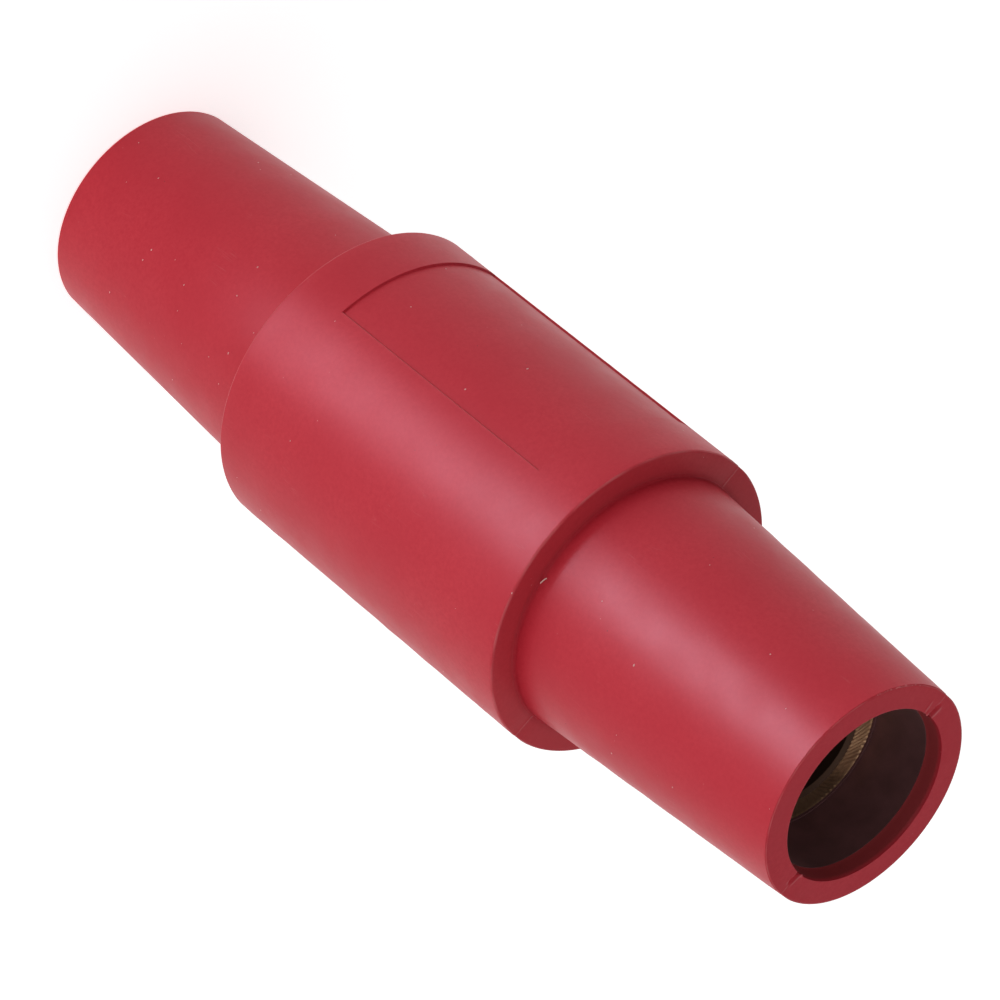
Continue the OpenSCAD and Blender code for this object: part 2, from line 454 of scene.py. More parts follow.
def about_axis(points):
    """Radius, direction and height above the middle of each point."""
    x, y, z = points.T
    return np.hypot(x, y), np.arctan2(y, x), z - MIDDLE


def turn_from(turn, place):
    """Signed angle of each direction from a given one."""
    return (turn - place + math.pi) % math.tau - math.pi


def smoothstep(value, low, high):
    """0 below low, 1 above high, and a smooth rise between."""
    rise = np.clip((value - low) / (high - low), 0, 1)
    return rise * rise * (3 - 2 * rise)


def bell(distance, width):
    """1 at no distance, and a smooth fall to both sides."""
    return np.exp(-((distance / width) ** 2))


# Finishes


def new_finish(name):
    """A material with a Principled shader, and its object coordinates."""
    finish = bpy.data.materials.new(name)
    finish.use_nodes = True
    return finish, add_node(finish.node_tree, "ShaderNodeTexCoord").outputs["Object"]


def shaded(finish, inputs):
    """A finish, with values plugged into its shader."""
    plug(finish.node_tree.nodes["Principled BSDF"], inputs)
    return finish


def noise(place, scale, detail=2.0, roughness=0.5):
    """Factor of a noise texture."""
    inputs = {"Vector": place, "Scale": scale, "Detail": detail, "Roughness": roughness}
    return add_node(place.id_data, "ShaderNodeTexNoise", inputs).outputs[0]


def streaks(place, stretch, detail=2.0, lean=(0, 0, 0)):
    """Factor of noise drawn out into streaks."""
    inputs = {"Vector": place, "Rotation": lean, "Scale": stretch}
    return noise(add_node(place.id_data, "ShaderNodeMapping", inputs).outputs[0], 1.0, detail)


def carried(finish, name):
    """A number that the mesh carries at each point."""
    return add_node(finish.node_tree, "ShaderNodeAttribute", attribute_name=name).outputs["Fac"]


def scaled(tint, factor):
    """A lighter or darker colour."""
    return tuple(min(1.0, factor * part) for part in tint)


def mixed(factor, *ends):
    """Colour between two colours or sockets."""
    first, second = (end if isinstance(end, bpy.types.NodeSocket) else (*end, 1) for end in ends)
    inputs = {"Factor": factor, 6: first, 7: second}
    return add_node(factor.id_data, "ShaderNodeMix", inputs, data_type="RGBA").outputs[2]


def bump(height, strength, distance, normal=None):
    """Normal of a Bump node, on top of another one."""
    inputs = {"Height": height, "Strength": strength, "Distance": distance}
    if normal is not None:
        inputs["Normal"] = normal
    return add_node(height.id_data, "ShaderNodeBump", inputs).outputs[0]


def spots(place, scale, size, rarity):
    """Mask of small round spots at a few of the points of a Voronoi pattern."""
    tree = place.id_data
    cells = add_node(tree, "ShaderNodeTexVoronoi", {"Vector": place, "Scale": scale})
    chosen = add_node(tree, "ShaderNodeSeparateColor", {0: cells.outputs["Color"]}).outputs[0]
    near = remap(cells.outputs["Distance"], size * 0.6, size, 1.0, 0.0)
    return calculate("MULTIPLY", near, calculate("GREATER_THAN", chosen, 1 - rarity))


def rubber_finish(colours):
    """Satin red rubber: slow changes of tone, fine grain, rubbed spots and hair scratches, with the rubbed
    marks, painted highlights and painted shade that the mesh carries.
    """
    finish, place = new_finish("red_rubber")
    tone = remap(noise(place, 60, 3.0), 0.35, 0.65, 0.3, 0.7)
    base = mixed(tone, colours.rubber_deep, colours.rubber)
    mottle = remap(noise(place, 1700, 4.0, 0.75), 0.3, 0.7, 0.0, 1.0)
    base = mixed(mottle, base, colours.rubber_deep)
    fibre = streaks(place, (900, 900, 40), 1.0, (0.35, 0.2, 0.0))
    from_line = calculate("ABSOLUTE", calculate("SUBTRACT", fibre, 0.5))
    hair = remap(from_line, 0.002, 0.008, 1.0, 0.0)
    patch = remap(noise(place, 140), 0.62, 0.74, 0.0, 0.7)
    scratch = calculate("MULTIPLY", hair, patch)
    rubbed = calculate("MAXIMUM", spots(place, 700, 0.075, 0.07), scratch)
    faint = calculate("MULTIPLY", rubbed, 0.65)
    # Painted shade: darker colour and less sheen in the corners at the nozzles' roots
    grime = carried(finish, "grime")
    for mask, strength, tint in (
        # Pale rubbed marks, with painted highlights along the label recess and the end-face lines
        (calculate("MAXIMUM", faint, carried(finish, "wear")), 0.7, colours.rubbed_and_highlight),
        # Painted shade on the lip walls inside the mouths
        (carried(finish, "film"), 0.5, colours.lip_shade_tint),
        # Painted shade in the root corners
        (grime, 0.12, colours.grit_and_corner_shade),
        (spots(place, 460, 0.05, 0.05), 0.6, colours.grit_and_corner_shade),
    ):
        base = mixed(calculate("MULTIPLY", mask, strength), base, tint)
    wave = bump(noise(place, 110, 1.0), 0.25, 0.0002)
    grain = bump(noise(place, 4200), 0.2, 0.00002, wave)
    inputs = {
        "Base Color": base,
        "Roughness": remap(noise(place, 220, 4.0, 0.6), 0.3, 0.7, 0.38, 0.46),
        "IOR": 1.26,
        # Painted shade: less sheen in the root corners
        "Specular IOR Level": remap(grime, 0.0, 1.0, 0.5, 0.25),
        "Normal": bump(rubbed, 0.3, 0.00004, grain),
    }
    return shaded(finish, inputs)


def brass_finish(colours, darker_within_r):
    """Turned brass: fine tool rings, dull patches, painted shade towards +X, and darker and less metallic
    inside a radius.
    """
    finish, place = new_finish("turned_brass")
    tree = finish.node_tree
    flat = add_node(tree, "ShaderNodeVectorMath", {0: place, 1: (1, 1, 0)}, operation="MULTIPLY")
    reach = add_node(tree, "ShaderNodeVectorMath", {0: flat.outputs[0]}, operation="LENGTH").outputs[1]
    dull = remap(noise(place, 320, 4.0, 0.65), 0.35, 0.7, 0.0, 1.0)
    # Darker and less metallic inside the bore's radius
    bore = remap(reach, darker_within_r, darker_within_r + 0.3 * MM, 1.0, 0.0, smooth=True)
    side, _, height = add_node(tree, "ShaderNodeSeparateXYZ", {0: place}).outputs
    # Painted shade: the brass darkens towards +X, on one side of the contact, with a ragged edge
    drift = calculate("MULTIPLY_ADD", dull, 1.5 * MM, side)
    side_shade = remap(drift, -1.2 * MM, 2.6 * MM, 0.0, 0.75, smooth=True)
    dark_and_shade = calculate("MAXIMUM", bore, side_shade)
    turning = mixed(dull, colours.brass, colours.brass_dull)
    pitch = 0.16 * MM
    sweep = calculate("MULTIPLY", calculate("ADD", reach, height), math.tau / pitch)
    inputs = {
        "Base Color": mixed(dark_and_shade, turning, colours.brass_dark_and_shade),
        "Metallic": remap(bore, 0.0, 1.0, 1.0, 0.75),
        "Roughness": remap(calculate("MAXIMUM", dull, dark_and_shade), 0.0, 1.0, 0.36, 0.6),
        "Normal": bump(calculate("SINE", sweep), 0.35, 0.00001),
    }
    return shaded(finish, inputs)


def liner_finish(colours):
    """Dull brown-black insulating tube, a little dusty and rubbed by plugs."""
    finish, place = new_finish("dark_liner")
    cloud = remap(noise(place, 240, 4.0, 0.6), 0.3, 0.7, 0.0, 1.0)
    inputs = {
        "Base Color": mixed(cloud, colours.liner, scaled(colours.liner, 1.5)),
        "Roughness": remap(cloud, 0.0, 1.0, 0.55, 0.7),
        "IOR": 1.4,
        "Normal": bump(streaks(place, (2500, 2500, 120)), 0.25, 0.00002),
    }
    return shaded(finish, inputs)


def steel_finish(colours):
    """Ground steel with fine rings round the pin."""
    finish, place = new_finish("pin_steel")
    worn = remap(noise(place, 500, 4.0), 0.3, 0.7, 0.75, 1.0)
    inputs = {
        "Base Color": mixed(worn, scaled(colours.steel, 0.6), colours.steel),
        "Metallic": 1.0,
        "Roughness": remap(worn, 0.75, 1.0, 0.42, 0.26),
        "Normal": bump(streaks(place, (9000, 300, 300)), 0.3, 0.00001),
    }
    return shaded(finish, inputs)


def grain_finish(name, tint):
    """Dry dust or dark specks with a little change from grain to grain."""
    finish, place = new_finish(name)
    tone = mixed(noise(place, 2500), tint, scaled(tint, 1.25))
    return shaded(finish, {"Base Color": tone, "Roughness": 0.8, "IOR": 1.35})


# Pieces


def seat_piece(name, mesh, replaces=()):
    """Makes a finished mesh a piece of the coupler."""
    piece = new_object(name, mesh)
    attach(piece, BODY)
    if replaces:
        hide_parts(*replaces)
    return piece


WALL_STEPS = (-1.0, -0.5, -0.25, 0.0, 0.25, 0.5, 1.0)
SEAM_STEPS = tuple(0.7 * step for step in range(-10, 11))
LINE_STEPS = (-2.0, -1.0, 0.0, 1.0, 2.0)
# How near a point is to its surface, and how far the skin is from the liner
SKIN = 0.02 * MM
CLEAR_OF_LINER = 0.1 * MM


def sleeve_profile(size, contact):
    """Outline of the sleeve's section about the middle, in (radius, height) points."""
    barrel_r, mouth_r, lip_r = size.barrel_d / 2, size.mouth_d / 2, size.lip_d / 2
    root_r, tip_r = size.nozzle_root_d / 2, size.nozzle_tip_d / 2
    shoulder, end = size.barrel_len / 2, HALF_LENGTH
    lean = math.atan((root_r - tip_r) / (end - shoulder))
    lift = Vector((math.cos(lean), math.sin(lean)))

    def on_side(height, offset):
        return Vector((root_r - (height - shoulder) * math.tan(lean) + offset / math.cos(lean), height))

    fillet = on_side(shoulder + size.root_fillet, size.root_fillet)
    tip = on_side(end - size.tip_round, -size.tip_round)
    rim = (barrel_r - size.rim_round, shoulder - size.rim_round)
    label_end = size.label_len / 2
    pocket_r, seat_r = size.liner_d / 2 + size.seat_gap, contact.contact_d / 2 + size.seat_gap
    pocket_floor = LINER_LOW.z - MIDDLE - size.seat_gap
    groove_r, groove_end = contact.collar_d / 2 + size.seat_gap, contact.collar_len / 2 + size.seat_gap
    rim_edge, lip_edge = (mouth_r, end), (lip_r, end - size.lip_len)
    pocket_top = (pocket_r, end - size.lip_len)
    outer_soft = soft_corner((tip.x, end), rim_edge, lip_edge, size.edge_soft)
    wall = [(barrel_r, label_end + step * size.label_wall) for step in WALL_STEPS]
    upper = [(barrel_r, 0.0), *straight((barrel_r, 0.0), wall[0], 8), *wall[1:]]
    upper += straight(wall[-1], (barrel_r, rim[1]), 4)
    upper += arc(rim, size.rim_round, 0.0, math.pi / 2, 8)
    upper += straight(upper[-1], (fillet.x, shoulder), 5)
    upper += arc(fillet, size.root_fillet, 1.5 * math.pi, math.pi + lean, 8)
    upper += straight(upper[-1], tip + size.tip_round * lift, 18)
    upper += arc(tip, size.tip_round, lean, math.pi / 2, 6)
    upper += straight(upper[-1], outer_soft[0], 12)
    upper += outer_soft[1:] + straight(outer_soft[-1], lip_edge, 8)
    upper += [pocket_top, (pocket_r, pocket_floor), (seat_r, pocket_floor)]
    upper += [(seat_r, groove_end), (groove_r, groove_end)]
    whole = both_ways(upper)
    return whole + whole[:1]


def sink_label(points, size):
    """Lowers the label recess into the barrel."""
    barrel_r = size.barrel_d / 2
    radius, turn, height = about_axis(points)
    on_barrel = np.abs(radius - barrel_r) < TOUCH
    along = size.label_len / 2 - np.abs(height)
    around = size.label_w / 2 - np.abs(turn_from(turn, size.label_facing)) * barrel_r
    inside = smoothstep(np.minimum(along, around), -size.label_wall / 2, size.label_wall / 2)
    drop = np.where(on_barrel, inside * size.label_depth, 0.0)
    points[:, :2] *= (1 - drop / radius)[:, None]


def painted_corner_shade(points, size):
    """How much painted shade each point gets, from 0 to 1: full in the corners at the nozzles' roots."""
    radius, _, height = about_axis(points)
    away = np.hypot(radius - size.nozzle_root_d / 2, np.abs(height) - size.barrel_len / 2)
    return 1 - smoothstep(away, 0.5 * size.root_fillet, 2 * size.root_fillet)


def painted_lip_shade(points, size):
    """How much painted shade each point gets, from 0 to 1: full on the lip walls inside the mouths."""
    radius, _, height = about_axis(points)
    below_end = HALF_LENGTH - np.abs(height)
    return (radius < size.mouth_d / 2 + SKIN) * smoothstep(below_end, 0.1 * MM, 0.7 * MM)


def edge_wear_and_highlight(points, size):
    """How pale each point is made, from 0 to 1: rubbed edges and shoulders, and a painted highlight along
    one long edge of the label recess.
    """
    barrel_r, end = size.barrel_d / 2, HALF_LENGTH
    radius, turn, height = about_axis(points)
    height = np.abs(height)
    patchy = 0.6 + 0.4 * np.sin(7 * turn + 1) * np.sin(19 * turn)
    wear = np.zeros(len(points))
    for edge_r, edge_z, soft in (
        (barrel_r, size.barrel_len / 2, size.rim_round),
        (size.nozzle_tip_d / 2, end, size.tip_round),
        (size.mouth_d / 2, end, size.edge_soft),
    ):
        distance = np.hypot(radius - edge_r, height - edge_z)
        wear = np.maximum(wear, patchy * (1 - smoothstep(distance, 0.45 * soft, 0.9 * soft)))
    on_shoulder = (np.abs(height - size.barrel_len / 2) < SKIN) & (radius < barrel_r)
    wear = np.maximum(wear, 0.25 * on_shoulder)
    # Painted highlight: a thin pale line along one long edge of the label recess
    around = size.label_w / 2 - turn_from(turn, size.label_facing) * barrel_r
    brink_highlight = bell(around + 0.5 * size.label_wall, 0.05 * MM)
    beside = (np.abs(radius - barrel_r) < TOUCH) & (height < size.label_len / 2)
    return np.maximum(wear, np.where(beside, 0.8 * brink_highlight, 0.0))


def mark_seams(points, normals, size, marks):
    """Leaves the mould's traces: flash, a half step, end grooves, fine lines and pips. Gives a pale mask on
    the end faces along the fine lines, one side of each groove and the pips, which is a painted highlight.
    """
    radius, turn, height = about_axis(points)
    below_end = HALF_LENGTH - np.abs(height)
    mouth_r = size.mouth_d / 2
    on_lip = below_end < size.lip_len - SKIN
    outside = (radius > size.liner_d / 2 + CLEAR_OF_LINER) | on_lip
    at_end = below_end < 0.2 * MM
    from_mouth = np.maximum(radius - mouth_r, 0) + below_end
    wander = np.sin(points[:, 2] / (1.13 * MM)) * np.sin(points[:, 2] / (0.41 * MM) + 1.0)
    fade = 1 - smoothstep(from_mouth, 0.6 * marks.groove_reach, marks.groove_reach)
    fine_w = 0.8 * marks.flash_w
    push = np.where(at_end, -marks.line_h, 0.0)
    # Painted highlight along the raised fine line on each end face
    beside = turn_from(turn, marks.near_seam + marks.line_turn) * radius
    wear = bell(beside, fine_w) * (1 - smoothstep(from_mouth, 1.2 * MM, 2 * MM))
    for seam, side in ((marks.near_seam, -1), (marks.far_seam, 1)):
        away = turn_from(turn, seam) * radius
        ridge = bell(away, marks.flash_w) * (0.65 + 0.35 * wander)
        relief = bell(away, marks.relief_w)
        push += np.where(at_end | on_lip & (radius < mouth_r), 0.0, marks.flash_h * (ridge - relief))
        slanted = away + math.tan(marks.groove_slant) * from_mouth
        cut = np.clip(1 - np.abs(slanted) / marks.groove_w, 0, 1) * fade
        push -= np.where(on_lip, marks.groove_depth * cut, 0.0)
        # Painted highlight along one side of each end groove, and on the pips
        brink_highlight = bell(side * slanted - 1.4 * marks.groove_w, fine_w) * fade
        pip = bell(np.hypot(away - 1.6 * marks.groove_w, from_mouth), 0.2 * MM)
        push += np.where(on_lip, marks.pip_h * pip, 0.0)
        wear = np.maximum(wear, np.maximum(brink_highlight, pip))
    wear = np.where(at_end, wear, 0.0)
    push += marks.line_h * wear
    middle = (marks.near_seam + marks.far_seam) / 2 - math.pi
    half_turn = math.pi - (marks.far_seam - marks.near_seam) / 2
    into_half = (half_turn - np.abs(turn_from(turn, middle))) * radius
    push -= marks.half_step * smoothstep(into_half, -0.06 * MM, 0.06 * MM)
    points += normals * (push * outside)[:, None]
    points[:, 2] = np.clip(points[:, 2], SLEEVE_LOW.z, SLEEVE_HIGH.z)
    return wear


class COUPLER_OT_sleeve(bpy.types.Operator):
    """Builds the moulded rubber sleeve"""

    bl_idname = "coupler.sleeve"
    bl_label = "Rubber sleeve"

    def execute(self, context):
        size, marks, contact, colours, _ = settings(context)
        barrel_r, tip_r = size.barrel_d / 2, size.nozzle_tip_d / 2
        half_label = size.label_w / 2 / barrel_r
        wall = [step * size.label_wall / barrel_r for step in WALL_STEPS]
        seam = [step * marks.flash_w / tip_r for step in SEAM_STEPS]
        line = [step * marks.flash_w / tip_r for step in LINE_STEPS]
        clusters = (
            (size.label_facing - half_label, wall),
            (size.label_facing + half_label, wall),
            (marks.near_seam, seam),
            (marks.near_seam + marks.line_turn, line),
            (marks.far_seam, seam),
        )
        ring = ring_angles(240, clusters)
        profile = standing(sleeve_profile(size, contact))
        mesh = turned("moulded_sleeve", profile, ring, rubber_finish(colours))
        points, normals = vectors(mesh.vertices, "co"), vectors(mesh.vertex_normals, "vector")
        # Pale rubbed marks with painted highlights, painted shade in the root corners and painted shade
        # inside the lips
        layers = {
            "wear": edge_wear_and_highlight(points, size),
            "grime": painted_corner_shade(points, size),
            "film": painted_lip_shade(points, size),
        }
        sink_label(points, size)
        layers["wear"] = np.maximum(layers["wear"], mark_seams(points, normals, size, marks))
        set_points(mesh, points)
        for name, values in layers.items():
            mesh.attributes.new(name, "FLOAT", "POINT").data.foreach_set("value", values)
        mesh.set_sharp_from_angle(angle=CRISP_RUBBER)
        seat_piece("moulded_sleeve", mesh, ["insulator_sleeve"])
        return {"FINISHED"}


class COUPLER_OT_liners(bpy.types.Operator):
    """Builds the dark liner of each mouth"""

    bl_idname = "coupler.liners"
    bl_label = "Mouth liners"

    def execute(self, context):
        size, _, contact, colours, _ = settings(context)
        finish = liner_finish(colours)
        outer_r, bore_r = size.liner_d / 2, size.liner_bore_d / 2
        seat_r = contact.contact_d / 2 + size.seat_gap
        top, bottom, ledge = LINER_HIGH.z - MIDDLE, LINER_LOW.z - MIDDLE, CONTACT_HIGH.z - MIDDLE
        profile = [(outer_r, bottom), (outer_r, top), (bore_r, top)]
        profile += straight(profile[-1], (bore_r, ledge), 12)
        profile += [(seat_r, ledge), (seat_r, bottom), (outer_r, bottom)]
        for name, side in (("top_liner", 1), ("bottom_liner", -1)):
            placed = [(radius, MIDDLE + side * height) for radius, height in profile]
            mesh = turned(name + "_tube", placed, ring_angles(192), finish)
            mesh.set_sharp_from_angle(angle=CRISP)
            seat_piece(mesh.name, mesh, [name])
        return {"FINISHED"}


def contact_profile(size):
    """Outline of the contact's section about the middle, from axis to axis."""
    outer_r, collar_r, bore_r = size.contact_d / 2, size.collar_d / 2, size.bore_d / 2
    chamber_r = size.chamber_d / 2
    end = CONTACT_HIGH.z - MIDDLE
    chamber_top = end - size.bore_len
    floor = chamber_top - size.chamber_len
    half_collar = size.collar_len / 2
    upper = [(0.0, floor - chamber_r / math.tan(size.drill_point / 2))]
    for corner, steps in (
        ((chamber_r, floor), 6),
        ((chamber_r, chamber_top), 6),
        ((bore_r, chamber_top), 2),
        ((bore_r, end - size.bore_chamfer), 8),
        ((bore_r + size.bore_chamfer, end), 3),
        ((outer_r - size.end_chamfer, end), 12),
        ((outer_r, end - size.end_chamfer), 3),
        ((outer_r, half_collar), 6),
    ):
        upper += straight(upper[-1], corner, steps)
    upper += [(collar_r - size.collar_chamfer, half_collar), (collar_r, half_collar - size.collar_chamfer)]
    return both_ways(upper)


def chatter(points, size):
    """Presses the slanting ripples that a chattering tool leaves into both end faces."""
    radius, turn, _ = about_axis(points)
    low = size.bore_d / 2 + size.bore_chamfer
    high = size.contact_d / 2 - size.end_chamfer
    fade = 0.25 * MM
    band = smoothstep(radius, low, low + fade) * (1 - smoothstep(radius, high - fade, high))
    swirl = turn - math.tan(size.chatter_slant) * np.log(np.maximum(radius, low) / low)
    for end, side in ((CONTACT_HIGH.z, 1), (CONTACT_LOW.z, -1)):
        on_end = (np.abs(points[:, 2] - end) < TOUCH) * band
        sway = 1.6 * np.sin(5 * swirl + side) + 0.9 * np.sin(13 * swirl + 0.7)
        ripple = np.sin(size.chatter_count * swirl + sway) * (0.65 + 0.35 * np.sin(9 * turn + 2 * side))
        points[:, 2] += side * on_end * size.chatter_depth * (ripple - 1)


def pin_matrix(node):
    """Takes a shape that is drawn along Z to the place of a cam pin."""
    low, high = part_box(node)
    return Matrix.Translation((low + high) / 2) @ Matrix.Rotation(math.pi / 2, 4, "Y")


class COUPLER_OT_contact(bpy.types.Operator):
    """Builds the turned brass contact, with a hole for each cam pin"""

    bl_idname = "coupler.contact"
    bl_label = "Brass contact"

    def execute(self, context):
        _, _, size, colours, _ = settings(context)
        brass = brass_finish(colours, size.bore_d / 2 + size.bore_chamfer)
        mesh = turned("turned_contact", standing(contact_profile(size)), ring_angles(640), brass)
        points = vectors(mesh.vertices, "co")
        chatter(points, size)
        set_points(mesh, points)
        body = new_object("turned_contact_body", mesh)
        hole_r = (PIN_HIGH.z - PIN_LOW.z) / 2 + size.pin_gap
        drill = {"radius1": hole_r, "radius2": hole_r, "depth": 1.5 * size.contact_d, "segments": 48}
        drills = []
        for node in PIN_NODES:
            shape = bmesh.new()
            bmesh.ops.create_cone(shape, cap_ends=True, **drill)
            drills.append(helper_object(node + "_drill", shape))
            drills[-1].data.transform(pin_matrix(node))
            cut = body.modifiers.new(node, "BOOLEAN")
            cut.operation = "DIFFERENCE"
            cut.solver = "EXACT"
            cut.object = drills[-1]
        drilled = plain_mesh("turned_contact", body, *drills)
        drilled.set_sharp_from_angle(angle=CRISP)
        seat_piece("turned_contact", drilled, ["contact_barrel"])
        return {"FINISHED"}


class COUPLER_OT_cam_pins(bpy.types.Operator):
    """Builds the two steel cam pins"""

    bl_idname = "coupler.cam_pins"
    bl_label = "Cam pins"

    def execute(self, context):
        _, _, size, colours, _ = settings(context)
        steel = steel_finish(colours)
        for node in PIN_NODES:
            low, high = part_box(node)
            pin_r, reach = (high.z - low.z) / 2, (high.x - low.x) / 2
            upper = [(pin_r, 0.0), *straight((pin_r, 0.0), (pin_r, reach - size.pin_chamfer), 8)]
            upper += [(pin_r - size.pin_chamfer, reach), (0.0, reach)]
            below = [(radius, -height) for radius, height in upper[:0:-1]]
            mesh = turned(node.replace("pin", "dowel"), below + upper, ring_angles(72), steel)
            mesh.transform(pin_matrix(node))
            mesh.set_sharp_from_angle(angle=CRISP)
            seat_piece(mesh.name, mesh, [node])
        return {"FINISHED"}


def skin_of(piece, wanted):
    """The faces of a piece whose middles pass a test, as a helper object."""
    shape = bmesh.new()
    shape.from_mesh(piece.data)
    unwanted = [face for face in shape.faces if not wanted(face.calc_center_median())]
    bmesh.ops.delete(shape, geom=unwanted, context="FACES")
    return helper_object(piece.name + "_skin", shape)


# Where the crumbs lie on the top rim, in degrees from +X towards +Y
CRUMB_ARC = (203, 230)
# Where the lint begins, and how far it runs back, in degrees
LINT_START = 285.7
LINT_RUN = 3.1


class COUPLER_OT_grains(bpy.types.Operator):
    """Seats dust, dark specks and crumbs of flash on the sleeve"""

    bl_idname = "coupler.grains"
    bl_label = "Dust and crumbs"

    def execute(self, context):
        size, _, _, colours, _ = settings(context)
        sleeve = bpy.data.objects.get("moulded_sleeve")
        if sleeve is None:
            raise RuntimeError("the sleeve has to be built before the grains on it")
        inner_r = size.liner_d / 2 + CLEAR_OF_LINER
        clear = 0.25 * MM

        def on_skin(spot):
            level = SLEEVE_LOW.z + clear < spot.z < SLEEVE_HIGH.z - clear
            inside = max(abs(spot.x), abs(spot.y)) < size.barrel_d / 2 - clear
            return level and inside and math.hypot(spot.x, spot.y) > inner_r

        def on_rim(spot):
            turn = math.degrees(math.atan2(spot.y, spot.x)) % 360
            near_edge = clear / 2 < SLEEVE_HIGH.z - spot.z < 2.5 * clear
            in_arc = CRUMB_ARC[0] < turn < CRUMB_ARC[1]
            return near_edge and in_arc and math.hypot(spot.x, spot.y) > inner_r

        for name, wanted, density, smallest, largest, seed, tint in (
            ("pale_dust", on_skin, 9000.0, 0.04, 0.14, 3, colours.dust),
            ("dark_grit", on_skin, 700.0, 0.05, 0.12, 8, colours.grit_and_corner_shade),
            ("rim_crumbs", on_rim, 5.5e6, 0.06, 0.17, 5, colours.rubbed_and_highlight),
        ):
            values = {"Density": density, "Smallest": smallest * MM, "Largest": largest * MM, "Seed": seed}
            values["Finish"] = grain_finish(name, tint)
            mesh = through_nodes(name, "seated_grains", values, skin_of(sleeve, wanted))
            if not mesh.polygons:
                raise RuntimeError(name + " came out empty")
            seat_piece(name, mesh)
        return {"FINISHED"}


class COUPLER_OT_lint(bpy.types.Operator):
    """Lays a thread of lint in the corner between the upper shoulder and its nozzle"""

    bl_idname = "coupler.lint"
    bl_label = "Lint"

    def execute(self, context):
        size, _, _, colours, _ = settings(context)
        steps = np.linspace(0, 1, 9)
        turns = np.radians(LINT_START - LINT_RUN * steps)
        reach = size.nozzle_root_d / 2 + (0.07 + 0.08 * np.sin(math.pi * steps)) * MM
        heights = MIDDLE + size.barrel_len / 2 + (0.3 + 0.45 * steps) * MM
        points = np.stack((reach * np.cos(turns), reach * np.sin(turns), heights), axis=1)
        values = {"Thickness": 0.07 * MM, "Finish": grain_finish("root_lint", colours.lint)}
        mesh = through_nodes("root_lint", "swept_thread", values, polyline("lint_path", points))
        outward(mesh)
        seat_piece("root_lint", mesh)
        return {"FINISHED"}


# Stage


def bare_nodes(owner):
    """The emptied node tree of a material or a world."""
    owner.use_nodes = True
    owner.node_tree.nodes.clear()
    return owner.node_tree


def shown_rays(tree):
    """1 for camera, mirror and see-through rays, and 0 for all other light."""
    rays = add_node(tree, "ShaderNodeLightPath").outputs
    straight_on = calculate("MAXIMUM", rays["Is Camera Ray"], rays["Is Glossy Ray"])
    return calculate("MAXIMUM", straight_on, rays["Is Transmission Ray"])


def build_floor(stage, colours):
    """A pale floor that shows white and keeps the coupler's shadow."""
    reach = stage.floor_reach
    mesh = bpy.data.meshes.new("studio_floor")
    corners = [(-reach, -reach, 0), (reach, -reach, 0), (reach, reach, 0), (-reach, reach, 0)]
    mesh.from_pydata(corners, [], [(0, 1, 2, 3)])
    finish = bpy.data.materials.new("studio_floor")
    tree = bare_nodes(finish)
    matt = add_node(tree, "ShaderNodeBsdfDiffuse", {"Color": (*colours.floor, 1)}).outputs[0]
    glow = add_node(tree, "ShaderNodeEmission", {"Strength": stage.floor_glow}).outputs[0]
    lit = add_node(tree, "ShaderNodeAddShader", {0: matt, 1: glow}).outputs[0]
    add_node(tree, "ShaderNodeOutputMaterial", {0: lit})
    mesh.materials.append(finish)
    new_object("studio_floor", mesh)


def build_world(context, stage):
    """A room with a bright ceiling, whose walls are white to look at."""
    context.scene.world = bpy.data.worlds.new("studio_room")
    tree = bare_nodes(context.scene.world)
    towards = add_node(tree, "ShaderNodeTexCoord").outputs["Generated"]
    side, _, height = add_node(tree, "ShaderNodeSeparateXYZ", {0: towards}).outputs
    ceiling = remap(height, 0.4, 0.85, stage.room_side, stage.room_top, smooth=True)
    lean = calculate("MULTIPLY_ADD", side, stage.room_lean, 1.0)
    level = calculate("MULTIPLY", ceiling, lean)
    on_wall = remap(height, 0.4, 0.65, 1.0, 0.0, smooth=True)
    whiter = calculate("MULTIPLY", on_wall, calculate("SUBTRACT", 1.0, level))
    strength = calculate("MULTIPLY_ADD", shown_rays(tree), whiter, level)
    room = add_node(tree, "ShaderNodeBackground", {"Color": (1, 1, 1, 1), "Strength": strength})
    add_node(tree, "ShaderNodeOutputWorld", {0: room.outputs[0]})


def add_lamp(name, level, width, depth, place, rotation):
    """A rectangular soft lamp of a given brightness that the camera doesn't see."""
    lamp = bpy.data.lights.new(name, "AREA")
    lamp.shape = "RECTANGLE"
    lamp.size, lamp.size_y = width, depth
    lamp.energy = level * math.pi * width * depth
    thing = new_object(name, lamp)
    thing.location, thing.rotation_euler = place, rotation
    thing.visible_camera = False
    return thing


def beside_axis(reach, turn, height):
    """A place at a distance and direction from the axis."""
    return Vector((reach * math.cos(turn), reach * math.sin(turn), height))


# Height of the lit cards above the floor, and the panel's width, distance and direction
CARD_LIFT = 4 * MM
PANEL_W = 0.6
PANEL_REACH = 0.7
PANEL_TURN = math.radians(297)


def build_lamps(stage, colours):
    """Two louvred cards on the floor that only show as highlights, and a panel below the top rim."""
    for name, level, width, depth, reach, degrees in (
        ("front_strip", stage.strip_level, 0.05, 0.085, 0.105, -84),
        ("front_sheet", stage.sheet_level, 0.13, 0.1, 0.225, -87.5),
    ):
        turn = math.radians(degrees)
        facing_up = (math.pi, 0, turn + math.pi / 2)
        lamp = add_lamp(name, level, width, depth, beside_axis(reach, turn, CARD_LIFT), facing_up)
        lamp.visible_diffuse = False
        lamp.data.spread = stage.card_spread
        lamp.data.color = colours.card
    middle = 0.4 * SLEEVE_HIGH.z
    place = beside_axis(PANEL_REACH, PANEL_TURN, middle)
    inward = (Vector((0, 0, middle)) - place).to_track_quat("-Z", "Z").to_euler()
    add_lamp("right_panel", stage.panel_level, PANEL_W, 1.9 * middle, place, inward)


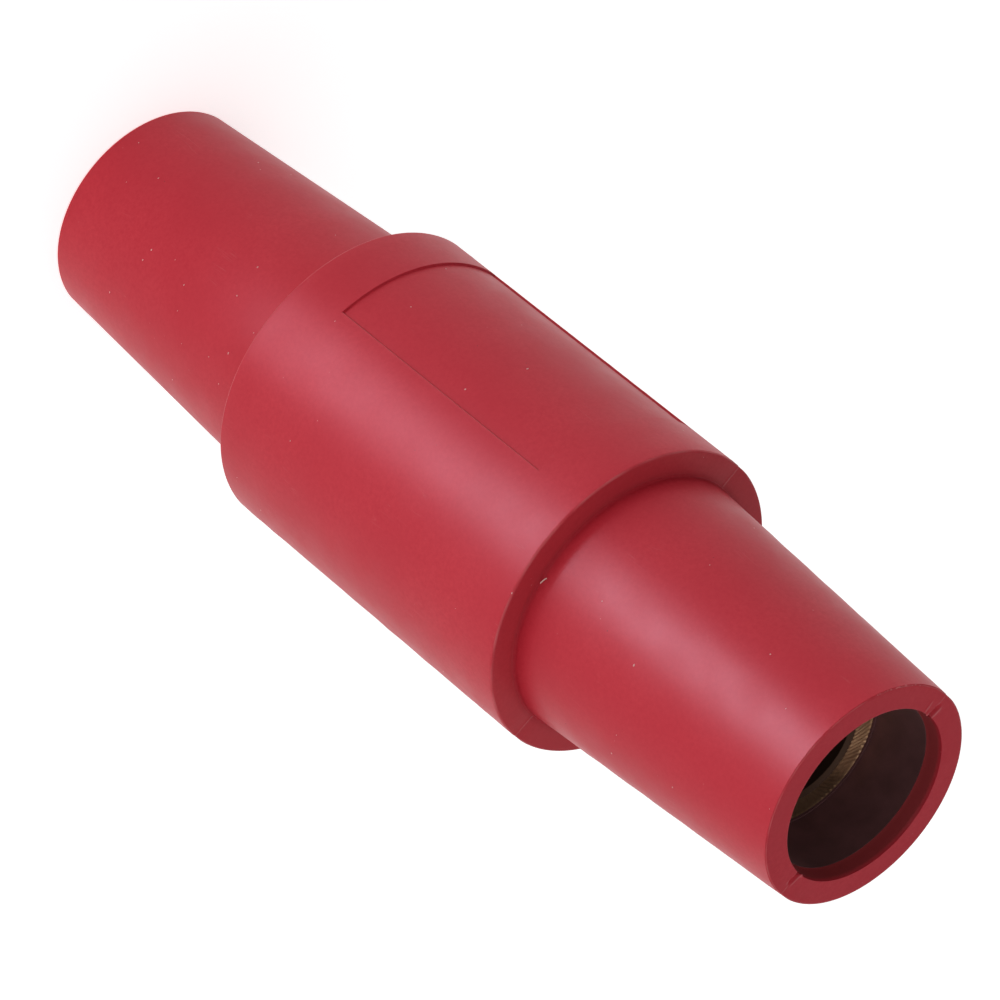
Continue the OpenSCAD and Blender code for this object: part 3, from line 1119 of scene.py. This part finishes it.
def build_camera(context, stage):
    """The photograph's camera: seen from -Y and above, and rolled."""
    data = bpy.data.cameras.new("photo_camera")
    data.lens = stage.lens
    data.sensor_width = 36
    data.clip_start, data.clip_end = 0.01, 20
    camera = new_object("photo_camera", data)
    back = Vector((0, -math.cos(stage.elevation), math.sin(stage.elevation)))
    level_up = Vector((0, math.sin(stage.elevation), math.cos(stage.elevation)))
    across = Vector((1, 0, 0))
    right = across * math.cos(stage.roll) + level_up * math.sin(stage.roll)
    up = level_up * math.cos(stage.roll) - across * math.sin(stage.roll)
    middle = Vector((0, 0, MIDDLE))
    camera.location = middle + back * stage.distance + right * stage.aim_right + up * stage.aim_up
    camera.rotation_euler = Matrix((right, up, back)).transposed().to_euler()
    context.scene.camera = camera


class COUPLER_OT_stage(bpy.types.Operator):
    """Sets up the floor, the room, the lamps and the camera"""

    bl_idname = "coupler.stage"
    bl_label = "Studio"

    def execute(self, context):
        _, _, _, colours, stage = settings(context)
        build_floor(stage, colours)
        build_world(context, stage)
        build_lamps(stage, colours)
        build_camera(context, stage)
        context.scene.view_settings.view_transform = "Standard"
        return {"FINISHED"}


class COUPLER_PT_panel(bpy.types.Panel):
    """Lists the steps that build the coupler"""

    bl_idname = "COUPLER_PT_panel"
    bl_label = "Single-pole coupler"
    bl_space_type = "VIEW_3D"
    bl_region_type = "UI"
    bl_category = "Coupler"

    def draw(self, context):
        for step in STEPS:
            self.layout.operator(step.bl_idname)
        for group in settings(context):
            column = self.layout.column(align=True)
            for name in group.__annotations__:
                column.prop(group, name)


STEPS = (
    COUPLER_OT_stage,
    COUPLER_OT_sleeve,
    COUPLER_OT_liners,
    COUPLER_OT_contact,
    COUPLER_OT_cam_pins,
    COUPLER_OT_grains,
    COUPLER_OT_lint,
)
GROUPS = {
    "coupler_sleeve": SleeveSizes,
    "coupler_mould": MouldMarks,
    "coupler_contact": ContactSizes,
    "coupler_colours": FinishColours,
    "coupler_stage": StageSettings,
}


def register():
    """Registers the classes, and gives the scene the property groups."""
    for kind in (*GROUPS.values(), *STEPS, COUPLER_PT_panel):
        bpy.utils.register_class(kind)
    for name, kind in GROUPS.items():
        setattr(bpy.types.Scene, name, PointerProperty(type=kind))


def unregister():
    """Takes the property groups and the classes away again."""
    for name in GROUPS:
        delattr(bpy.types.Scene, name)
    for kind in (COUPLER_PT_panel, *reversed(STEPS), *reversed(GROUPS.values())):
        bpy.utils.unregister_class(kind)


def main():
    """Builds the coupler and its studio."""
    register()
    bpy.ops.coupler.stage()
    bpy.ops.coupler.sleeve()
    bpy.ops.coupler.liners()
    bpy.ops.coupler.contact()
    bpy.ops.coupler.cam_pins()
    bpy.ops.coupler.grains()
    bpy.ops.coupler.lint()


if __name__ == "__main__":
    main()
